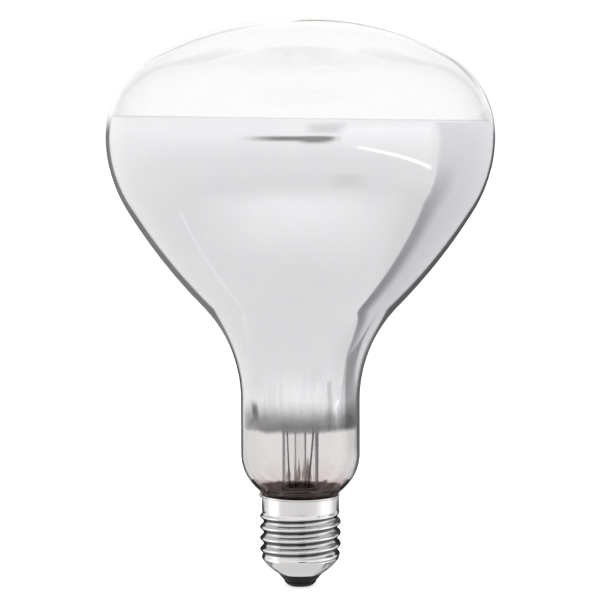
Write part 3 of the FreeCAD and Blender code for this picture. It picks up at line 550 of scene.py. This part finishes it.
def stem_material():
    """Clear lead glass, burnt at its foot and smoked where the flame sealed it into the bulb."""
    shader = Shader("stem_glass", Roughness=0.0, IOR=1.36)
    streaks = shader.noise(0.9 * MM, stretch=(1, 1, 14))
    height = shader.axis("Z")
    ragged = shader.math("ADD", height, shader.math("MULTIPLY", streaks, 0.8 * MM))
    dark_foot = shader.ease(ragged, BURNT_STEM_TOP - BURNT_STEM_EDGE, BURNT_STEM_TOP, 1.0, 0.0)
    glass = shader.mix(stem_smoke(shader, height), grey(0.99), (0.33, 0.28, 0.27, 1))
    shader.drive("Base Color", shader.mix(dark_foot, glass, (0.2, 0.15, 0.14, 1)))
    shader.drive("Transmission Weight", shader.ease(dark_foot, 0.0, 1.0, 1.0, 0.0))
    shader.bump(streaks, 0.004 * MM)
    return shader.material


def film_material():
    """Vapour-coated aluminium: a clean mirror that thins out, dark and streaky, towards the neck."""
    shader = Shader("mirror_film", Metallic=1.0)
    height = shader.axis("Z")
    drips = shader.noise(1.3 * MM, stretch=(1, 1, 7))
    patches = shader.noise(7 * MM)
    ragged = shader.math("ADD", height, shader.math("MULTIPLY", drips, 1.6 * MM))
    ragged = shader.math("ADD", ragged, shader.math("MULTIPLY", patches, 1.0 * MM))
    thin = shader.ease(ragged, FILM_BOTTOM + 4.5 * MM, FILM_BOTTOM + 14.5 * MM, 0.0, 1.0)
    first = shader.ease(ragged, FILM_BOTTOM + 2.7 * MM, FILM_BOTTOM + 4.7 * MM, 0.0, 0.72)
    full = shader.ease(ragged, FILM_BOTTOM + 6 * MM, FILM_BOTTOM + 12 * MM, 0.0, 0.28)
    cover = shader.math("ADD", first, full)
    runs = shader.noise(1.1 * MM, stretch=(1, 1, 40))
    streaky = shader.ease(height, FILM_BOTTOM + 12 * MM, FILM_BOTTOM + 30 * MM, 0.2, 0.0)
    streaky = shader.math("MULTIPLY", streaky, shader.ease(runs, 0.4, 0.75, 0.0, 1.0))
    lean = shader.math("MULTIPLY", shader.axis("X"), FILM_SLANT)
    below_edge = shader.math("ADD", height, lean)
    edge = shader.ease(below_edge, FILM_TOP - 0.55 * MM, FILM_TOP - 0.1 * MM, 0.0, 0.06)
    cloud = shader.noise(18 * MM)
    mirror = shader.mix(cloud, (0.83, 0.83, 0.845, 1), (0.88, 0.88, 0.89, 1))
    mirror = shader.mix(streaky, mirror, grey(0.5))
    faded = shader.mix(thin, (0.23, 0.225, 0.23, 1), mirror)
    shader.drive("Base Color", shader.mix(edge, faded, grey(0.3)))
    shader.drive("Roughness", shader.ease(patches, 0.3, 0.7, 0.035, 0.07))
    shader.drive("Alpha", cover)
    return shader.material


def wire_material(name, colour, dark, roughness):
    """Drawn wire with faint marks along it and a patchy oxide."""
    shader = Shader(name, Metallic=1.0)
    patches = shader.noise(1.5 * MM)
    shader.drive("Base Color", shader.mix(shader.ease(patches, 0.35, 0.7, 0.0, 1.0), colour, dark))
    shader.drive("Roughness", shader.ease(patches, 0.3, 0.7, roughness, roughness + 0.15))
    shader.bump(shader.noise(0.12 * MM, stretch=(1, 1, 8)), 0.004 * MM)
    return shader.material


def thread_shade_and_dirt(shader):
    """Painted shade: thin dark lines on the thread's downward and upward sloping faces, set by the way they
    face, and a little darkening in its roots that is partly dirt and partly painted shade.
    """
    facing = shader.facing()
    lower_rise = shader.ease(facing, -0.84, -0.74, 0.1, 1.0)
    lower_fall = shader.ease(facing, -0.6, -0.5, 0.92, 0.0)
    lower = shader.math("MULTIPLY", lower_rise, lower_fall)
    upper_rise = shader.ease(facing, 0.52, 0.62, 0.0, 0.45)
    upper_fall = shader.ease(facing, 0.7, 0.8, 1.0, 0.0)
    upper = shader.math("MULTIPLY", upper_rise, upper_fall)
    root = shader.ease(shader.reach(), THREAD_ROOT, THREAD_ROOT + 0.3 * MM, 0.2, 0.0)
    return shader.math("MAXIMUM", shader.math("MAXIMUM", lower, upper), root)


def shell_material():
    """Bright nickel plate with rolling lines and fine scuffs, duller on the skirt, with painted shade lines
    on the thread's slopes and some dirt and painted shade in its roots.
    """
    shader = Shader("plated_shell", Metallic=1.0)
    lines = shader.noise(0.25 * MM, stretch=(30, 30, 1))
    scuffs = shader.noise(0.6 * MM, detail=5.0)
    tone = shader.mix(scuffs, (0.66, 0.65, 0.645, 1), (0.76, 0.75, 0.745, 1))
    height = shader.axis("Z")
    below_top = shader.ease(height, THREAD_TOP - 1.5 * MM, THREAD_TOP, 1.0, 0.0)
    above_bottom = shader.ease(height, THREAD_BOTTOM, THREAD_BOTTOM + 1 * MM, 0.0, 1.0)
    threaded = shader.math("MULTIPLY", below_top, above_bottom)
    # Painted shade on the thread's slopes; in its roots partly dirt, partly painted shade.
    dirt_and_painted_shade = shader.math("MULTIPLY", thread_shade_and_dirt(shader), threaded)
    shader.drive("Base Color", shader.mix(dirt_and_painted_shade, tone, grey(0.03)))
    worn = shader.ease(scuffs, 0.3, 0.75, 0.04, 0.1)
    shader.drive("Roughness", shader.math("ADD", worn, shader.ease(below_top, 0.0, 1.0, 0.16, 0.0)))
    shader.bump(shader.math("ADD", lines, scuffs), 0.0025 * MM)
    return shader.material


def black_glass_material():
    shader = Shader("black_glass", Specular_IOR_Level=0.05)
    shader.drive("Base Color", shader.mix(shader.noise(2 * MM), grey(0.006), grey(0.016, -0.05)))
    shader.drive("Roughness", shader.ease(shader.noise(0.8 * MM), 0.3, 0.7, 0.12, 0.3))
    shader.bump(shader.noise(1.2 * MM), 0.02 * MM)
    return shader.material


def cement_material():
    """Baked basing cement: brown, grainy and matt."""
    shader = Shader("basing_cement", Roughness=0.85)
    grains = shader.noise(0.35 * MM, detail=5.0)
    shader.drive("Base Color", shader.mix(grains, (0.03, 0.017, 0.014, 1), (0.1, 0.058, 0.046, 1)))
    shader.bump(grains, 0.08 * MM)
    return shader.material


def solder_material():
    shader = Shader("solder", Metallic=1.0)
    crust_and_shade_colour = shader.noise(0.5 * MM, detail=4.0)
    shader.drive("Base Color", shader.mix(crust_and_shade_colour, grey(0.34), grey(0.62, 0.01)))
    shader.drive("Roughness", shader.ease(crust_and_shade_colour, 0.3, 0.7, 0.25, 0.5))
    shader.bump(crust_and_shade_colour, 0.05 * MM)
    return shader.material


def brass_material():
    shader = Shader("contact_brass", Metallic=1.0)
    # Brass darkened almost to black, with mottled tone and roughness.
    mottle = shader.noise(0.7 * MM, detail=4.0)
    shader.drive("Base Color", shader.mix(mottle, (0.06, 0.045, 0.03, 1), (0.2, 0.15, 0.09, 1)))
    shader.drive("Roughness", shader.ease(mottle, 0.3, 0.7, 0.22, 0.4))
    shader.bump(mottle, 0.01 * MM)
    return shader.material


def dress(node, material):
    """Gives a CAD node its finished material."""
    slots = NODES[node].data.materials
    slots.clear()
    slots.append(material)


def dress_cad_nodes():
    stem = stem_material()
    molybdenum = wire_material("molybdenum", grey(0.42, 0.02), grey(0.25), 0.3)
    nickel = wire_material("nickel_wire", grey(0.5, 0.05), grey(0.3, 0.05), 0.28)
    copper = wire_material("copper_clad_wire", (0.55, 0.2, 0.12, 1), (0.25, 0.08, 0.05, 1), 0.35)
    tinned = wire_material("tinned_wire", grey(0.1, 0.06), grey(0.03, 0.05), 0.35)
    solder = solder_material()
    for node in ("glass_stem", "exhaust_tube", "arbor_rod"):
        dress(node, stem)
    for count in range(1, 6):
        dress(f"support_wire_{count}", molybdenum)
    for side in ("left", "right"):
        dress(f"inner_lead_{side}", nickel)
        dress(f"seal_wire_{side}", copper)
    for node in ("outer_lead_side", "outer_lead_centre"):
        dress(node, tinned)
    for node in ("centre_solder", "side_solder"):
        dress(node, solder)
    dress("basing_cement", cement_material())
    dress("screw_shell", shell_material())
    dress("insulator", black_glass_material())
    dress("centre_contact", brass_material())


# Studio


def add_mesh_object(name, corners, faces, material):
    mesh = bpy.data.meshes.new(name)
    mesh.from_pydata(corners, [], faces)
    mesh.materials.append(material)
    thing = bpy.data.objects.new(name, mesh)
    bpy.context.scene.collection.objects.link(thing)
    return thing


def pale_floor():
    shader = Shader("pale_floor", Roughness=0.9, Emission_Color=(1, 1, 1, 1), Emission_Strength=0.6)
    shader.drive("Base Color", shader.mix(shader.noise(40 * MM), grey(0.9), grey(0.92)))
    reach = FLOOR_REACH
    corners = [(-reach, -reach, 0), (reach, -reach, 0), (reach, reach, 0), (-reach, reach, 0)]
    floor = add_mesh_object("pale_floor", corners, [(0, 1, 2, 3)], shader.material)
    floor.visible_glossy = False
    floor.visible_transmission = False


def direction(azimuth, elevation):
    """Unit vector; azimuth 0 looks from the lamp to the camera and 90 to the photograph's right."""
    turn, rise = math.radians(azimuth), math.radians(elevation)
    return Vector((math.sin(turn) * math.cos(rise), -math.cos(turn) * math.cos(rise), math.sin(rise)))


def card_material(name, span):
    """Shows the paint on a card's inner side to mirrored rays no longer than a span; clear to all others."""
    shader = Shader(name)
    paint = shader.add("ShaderNodeAttribute", attribute_name="brightness")
    path = shader.add("ShaderNodeLightPath")
    side = shader.add("ShaderNodeNewGeometry")
    mirrored = shader.math("MINIMUM", paint.outputs["Alpha"], path.outputs["Glossy Depth"])
    inner = shader.math("MULTIPLY", mirrored, side.outputs["Backfacing"])
    close = shader.math("LESS_THAN", path.outputs["Ray Length"], span)
    clear = shader.add("ShaderNodeBsdfTransparent")
    glow = shader.add("ShaderNodeEmission")
    shader.feed(glow.inputs["Color"], paint.outputs["Color"])
    blend = shader.add("ShaderNodeMixShader")
    shader.feed(blend.inputs["Fac"], shader.math("MULTIPLY", inner, close))
    shader.feed(blend.inputs[1], clear.outputs[0])
    shader.feed(blend.inputs[2], glow.outputs[0])
    shader.feed(shader.tree.nodes["Material Output"].inputs["Surface"], blend.outputs[0])
    shader.tree.nodes.remove(shader.surface)
    return shader.material


def fade(share, soft_start, soft_end):
    """Rises smoothly to 1 over the soft start and falls back over the soft end; stays up where neither is."""
    rise = share / soft_start if soft_start else 1
    fall = (1 - share) / soft_end if soft_end else 1
    level = min(rise, fall, 1)
    return level * level * (3 - 2 * level)


def between(corners, across, up):
    """Point between four corners: lower left, lower right, upper right and upper left."""
    lower = corners[0] + (corners[1] - corners[0]) * across
    upper = corners[3] + (corners[2] - corners[3]) * across
    return lower + (upper - lower) * up


def painted_sheet(name, material, places, colours):
    """A sheet over a grid of points that only reflections see, with a colour and a cover at each point."""
    rows, columns = colours.shape[:2]
    faces = []
    for row in range(rows - 1):
        for column in range(columns - 1):
            corner = row * columns + column
            faces.append((corner, corner + columns, corner + columns + 1, corner + 1))
    sheet = add_mesh_object(name, places.reshape(-1, 3).tolist(), faces, material)
    paint = sheet.data.attributes.new("brightness", "FLOAT_COLOR", "POINT")
    paint.data.foreach_set("color", colours.ravel())
    sheet.visible_camera = False
    sheet.visible_diffuse = False
    sheet.visible_shadow = False


def studio_card(name, material, corners, tones, soft, centre=STUDIO_CENTRE, reach=FAR):
    """A card as a patch of a sphere about a centre.

    Its four corners are azimuths and elevations in degrees, each with a tone, and soft tells over which
    share of its width or height it fades at its left, right, lower and upper edge. Reach is how far its
    lower and upper edge stand off; a near card slopes, so that steep rays meet its clear outer side.
    """
    corners = np.array(corners, float)
    tones = np.array(tones, float)
    shares = np.linspace(0, 1, CARD_STEPS)
    places = np.empty((CARD_STEPS, CARD_STEPS, 3))
    colours = np.empty((CARD_STEPS, CARD_STEPS, 4))
    for column, across in enumerate(shares):
        for row, up in enumerate(shares):
            distance = reach[0] + (reach[1] - reach[0]) * up
            places[column, row] = centre + direction(*between(corners, across, up)) * distance
            colours[column, row] = between(tones, across, up)
            colours[column, row, 3] = fade(across, *soft[:2]) * fade(up, *soft[2:])
    painted_sheet(name, material, places, colours)


def patch(left, right, bottom, top):
    """Corners of a card that is square to the horizon."""
    return [(left, bottom), (right, bottom), (right, top), (left, top)]


def flat(level):
    """One grey on all four corners of a card."""
    return [grey(level)] * 4


def camera_cards(material):
    """The dark slot with the camera in it, a thin streak in the mirror, and soft patches about it."""
    studio_card("camera_slot", material, patch(-38, 24, -3.0, 3.8), flat(0.27), (0.45, 0.15, 0.4, 0.4))
    body = patch(-4, 20, -5.0, 4.2)
    studio_card("camera_body", material, body, flat(0.33), (0.4, 0.4, 0.4, 0.4), reach=NEARER)
    studio_card("soft_patch", material, patch(0, 30, 4, 20), flat(0.85), (0.3, 0.3, 0.3, 0.4))
    studio_card("right_smudge", material, patch(14, 48, -40, -24), flat(0.8), (0.4, 0.4, 0.4, 0.4))
    glow = dict(centre=Vector((0, 0, 0.04)), reach=(0.05, 0.18))
    studio_card("under_glow", material, patch(-85, 85, 0, 0), flat(1.03), (0.5, 0.5, 0.4, 0.5), **glow)


def flag_cards(material):
    """Dark flags behind the lamp that draw its outline, and strips for the lines on the dome."""
    left = [(-173, -45), (-153, -45), (-150.5, 6), (-173, 1.8)]
    studio_card("left_flag", material, left, flat(0.2), (0.1, 0.12, 0.1, 0.03))
    right = [(150, -45), (173, -45), (173, 1.4), (157.5, 4.2)]
    tones = [grey(0.15), grey(0.15), grey(0.08), grey(0.08)]
    studio_card("right_flag", material, right, tones, (0.12, 0.1, 0.1, 0.03), reach=NEARER)
    rim = patch(164, 176, -2, 7)
    studio_card("right_rim", material, rim, flat(0.2), (0.2, 0.2, 0.1, 0.3), reach=NEARER)
    brown = (0.42, 0.32, 0.22, 1)
    strip = [(172, 6), (181, 20), (181, 25), (172, 11)]
    tones = [grey(0.5), brown, brown, grey(0.5)]
    studio_card("rear_strip", material, strip, tones, (0.2, 0.15, 0.3, 0.3))
    studio_card("right_band", material, patch(153, 173, 8, 20), flat(0.6), (0.4, 0.3, 0.4, 0.4))
    band = [(-177, 21), (-160, 12), (-160, 20), (-177, 29)]
    studio_card("left_band", material, band, flat(0.74), (0.3, 0.4, 0.4, 0.4))


def panel_cards(material):
    """The bright panel with its lit lower edge, and a thin bright line on the left."""
    panel = [(18, -6), (84, -18), (82.5, 16), (20, 16)]
    tones = [grey(1.02), grey(0.92), grey(1.2), grey(1.2)]
    studio_card("bright_panel", material, panel, tones, (0.12, 0.03, 0.03, 0.3))
    dim = [(52, -56), (126, -56), (100, -24), (60, -24)]
    studio_card("right_dim", material, dim, flat(0.8), (0.8, 0.02, 0.3, 0.4))
    bar = [(30, -5.2), (84, -17.2), (84, -14.2), (30, -2.6)]
    studio_card("bright_bar", material, bar, flat(1.32), (0.08, 0.05, 0.3, 0.3), reach=(0.6, 0.6))
    line = [(-129, -56), (-126, -56), (-97, -36), (-100, -36)]
    studio_card("left_line", material, line, flat(1.02), (0.3, 0.3, 0.1, 0.3))


def shade_cards(material):
    """The dusk beyond the panel's right-hand end, darkest along its edge and towards the neck."""
    light = (0.9, 0.89, 0.92, 1)
    pale = (0.8, 0.79, 0.82, 1)
    mauve = (0.7, 0.69, 0.72, 1)
    dusk = (0.47, 0.46, 0.48, 1)
    night = (0.27, 0.26, 0.28, 1)
    top = [(86, -10), (165, -10), (165, 7), (84, 16)]
    upper = [(98, -36), (165, -36), (165, -10), (86, -10)]
    lower = [(129, -56), (165, -56), (165, -36), (98, -36)]
    studio_card("shade_top", material, top, [pale, pale, light, light], (0.02, 0.1, 0, 0.03))
    studio_card("shade_upper", material, upper, [mauve, mauve, pale, pale], (0.02, 0.1, 0, 0))
    studio_card("shade_lower", material, lower, [mauve] * 4, (0.03, 0.1, 0.1, 0))
    edge = [(98, -36), (122, -32), (108, -2), (86, -8)]
    tones = [dusk, dusk, pale, pale]
    studio_card("edge_upper", material, edge, tones, (0.04, 0.7, 0, 0.6), reach=NEARER)
    edge = [(129, -56), (152, -50), (122, -32), (98, -36)]
    tones = [night, night, dusk, dusk]
    studio_card("edge_lower", material, edge, tones, (0.06, 0.7, 0.1, 0), reach=NEARER)


def neck_cards(material):
    """Small things close to the lamp for the neck's mirror and its outline."""
    beside = dict(centre=NECK_CENTRE, reach=(0.085, 0.05))
    shade = patch(85, 140, -20, 0)
    studio_card("neck_shade", material, shade, flat(0.36), (0.06, 0.2, 0.2, 0.3), **beside)
    streak = patch(46, 58, -15, -2)
    studio_card("neck_streak", material, streak, flat(0.7), (0.4, 0.4, 0.2, 0.3), **beside)
    behind = dict(centre=NECK_CENTRE, reach=(0.06, 0.05))
    left = patch(-161, -126, -40, 15)
    studio_card("neck_rim_left", material, left, flat(0.08), (0.05, 0.35, 0.1, 0.1), **behind)
    right = patch(118, 161, -40, 15)
    studio_card("neck_rim_right", material, right, flat(0.12), (0.3, 0.05, 0.1, 0.1), **behind)
    nearest = dict(centre=NECK_CENTRE, reach=(0.045, 0.035))
    mark = patch(-92, -70, -12, -1)
    studio_card("neck_mark", material, mark, flat(0.3), (0.35, 0.35, 0.5, 0.3), **nearest)
    light = patch(-88, -73, -16, -12)
    studio_card("neck_light", material, light, flat(1.3), (0.4, 0.3, 0.2, 0.3), **nearest)


def ring_card(name, material, inner, outer, height, tone):
    """A flat ring about the lamp's axis, seen from above, that fades at its outer edge."""
    radii = np.linspace(outer, inner, RING_STEPS + 1)
    turns = np.linspace(0, 2 * math.pi, RING_TURNS + 1)
    places = np.empty((len(radii), len(turns), 3))
    places[..., 0] = np.outer(radii, np.cos(turns))
    places[..., 1] = np.outer(radii, np.sin(turns))
    places[..., 2] = height
    colours = np.empty((len(radii), len(turns), 4))
    colours[...] = grey(tone)
    colours[0, :, 3] = 0
    painted_sheet(name, material, places, colours)


def cap_cards(material):
    """Dark and bright cards close round the cap that put lines into its plating."""
    behind = dict(centre=CAP_CENTRE, reach=(0.045, 0.03))
    for name, left, right in (("cap_flag_left", -176, -112), ("cap_flag_right", 112, 176)):
        flag = patch(left, right, -35, 15)
        studio_card(name, material, flag, flat(0.04), (0.1, 0.1, 0.1, 0.1), **behind)
    beside = dict(centre=CAP_CENTRE, reach=(0.06, 0.04))
    left = patch(-92, -62, -30, 20)
    studio_card("cap_light_left", material, left, flat(1.7), (0.4, 0.4, 0.1, 0.1), **beside)
    right = patch(36, 94, -30, 20)
    studio_card("cap_light_right", material, right, flat(1.45), (0.5, 0.25, 0.1, 0.1), **beside)
    front = dict(centre=Vector((0, 0, 0.006)), reach=(0.09, 0.04))
    streak = patch(-9, 19, -14, 14)
    studio_card("cap_streak", material, streak, flat(0.02), (0.3, 0.3, 0.1, 0.1), **front)
    ring_card("cap_collar", material, inner=14.2 * MM, outer=22 * MM, height=30.8 * MM, tone=0.03)
    ring_card("cap_floor", material, inner=22 * MM, outer=48 * MM, height=-8 * MM, tone=0.35)


def studio_cards():
    """Dark and bright things round the lamp that its mirror and cap show."""
    far = card_material("studio_card", 2 * CARD_DISTANCE)
    camera_cards(far)
    flag_cards(far)
    panel_cards(far)
    shade_cards(far)
    near = card_material("near_card", NEAR_SPAN)
    neck_cards(near)
    cap_cards(near)


def deep_light_paths():
    """Lets light meet the glass walls and the film often enough to leave the closed bulb again."""
    paths = bpy.context.scene.cycles
    paths.max_bounces = LIGHT_TURNS
    paths.glossy_bounces = MIRRORED_TURNS


def cap_strips():
    """Two soft oval lights low beside the lamp that light the cap's plating alone."""
    plating = bpy.data.collections.new("plating")
    plating.objects.link(NODES["screw_shell"])
    for side, name in ((-1, "cap_strip_left"), (1, "cap_strip_right")):
        light = bpy.data.lights.new(name, "AREA")
        light.shape = "ELLIPSE"
        light.size = CAP_STRIP_WIDTH
        light.size_y = CAP_STRIP_HEIGHT
        light.energy = CAP_STRIP_POWER
        strip = bpy.data.objects.new(name, light)
        towards = direction(side * CAP_STRIP_AZIMUTH, CAP_STRIP_ELEVATION)
        strip.location = CAP_CENTRE + towards * CAP_STRIP_DISTANCE
        strip.rotation_euler = (CAP_CENTRE - strip.location).to_track_quat("-Z", "Y").to_euler()
        strip.light_linking.receiver_collection = plating
        bpy.context.scene.collection.objects.link(strip)


def studio_light():
    """A white tent of light, a little dimmer below, by the sine of the elevation."""
    world = bpy.data.worlds.new("studio")
    bpy.context.scene.world = world
    world.use_nodes = True
    tree = world.node_tree
    background = tree.nodes["Background"]
    place = tree.nodes.new("ShaderNodeTexCoord")
    split = tree.nodes.new("ShaderNodeSeparateXYZ")
    span = tree.nodes.new("ShaderNodeMapRange")
    span.inputs["From Min"].default_value = -1.0
    ramp = tree.nodes.new("ShaderNodeValToRGB")
    stops = ramp.color_ramp.elements
    while len(stops) < len(SKY_LEVELS):
        stops.new(0.5)
    for stop, (elevation, level) in zip(stops, SKY_LEVELS):
        stop.position = (math.sin(math.radians(elevation)) + 1) / 2
        stop.color = grey(level / SKY_STRENGTH)
    tree.links.new(place.outputs["Generated"], split.inputs[0])
    tree.links.new(split.outputs["Z"], span.inputs["Value"])
    tree.links.new(span.outputs[0], ramp.inputs["Fac"])
    tree.links.new(ramp.outputs["Color"], background.inputs["Color"])
    background.inputs["Strength"].default_value = SKY_STRENGTH


def photograph_camera():
    camera = bpy.data.cameras.new("camera")
    camera.sensor_width = SENSOR
    camera.lens = SENSOR * FOCAL_PIXELS / IMAGE_SIZE
    camera.clip_start = 0.01
    view = bpy.data.objects.new("camera", camera)
    view.location = CAMERA_PLACE
    view.rotation_euler = (math.pi / 2 - CAMERA_TILT, 0, 0)
    bpy.context.scene.collection.objects.link(view)
    bpy.context.scene.camera = view
    bpy.context.scene.view_settings.view_transform = "Standard"


bulb_glass(bulb_material())
mirror_film(film_material())
coiled_filament(wire_material("tungsten", grey(0.3), grey(0.18), 0.35))
dress_cad_nodes()
pale_floor()
studio_cards()
deep_light_paths()
cap_strips()
studio_light()
photograph_camera()
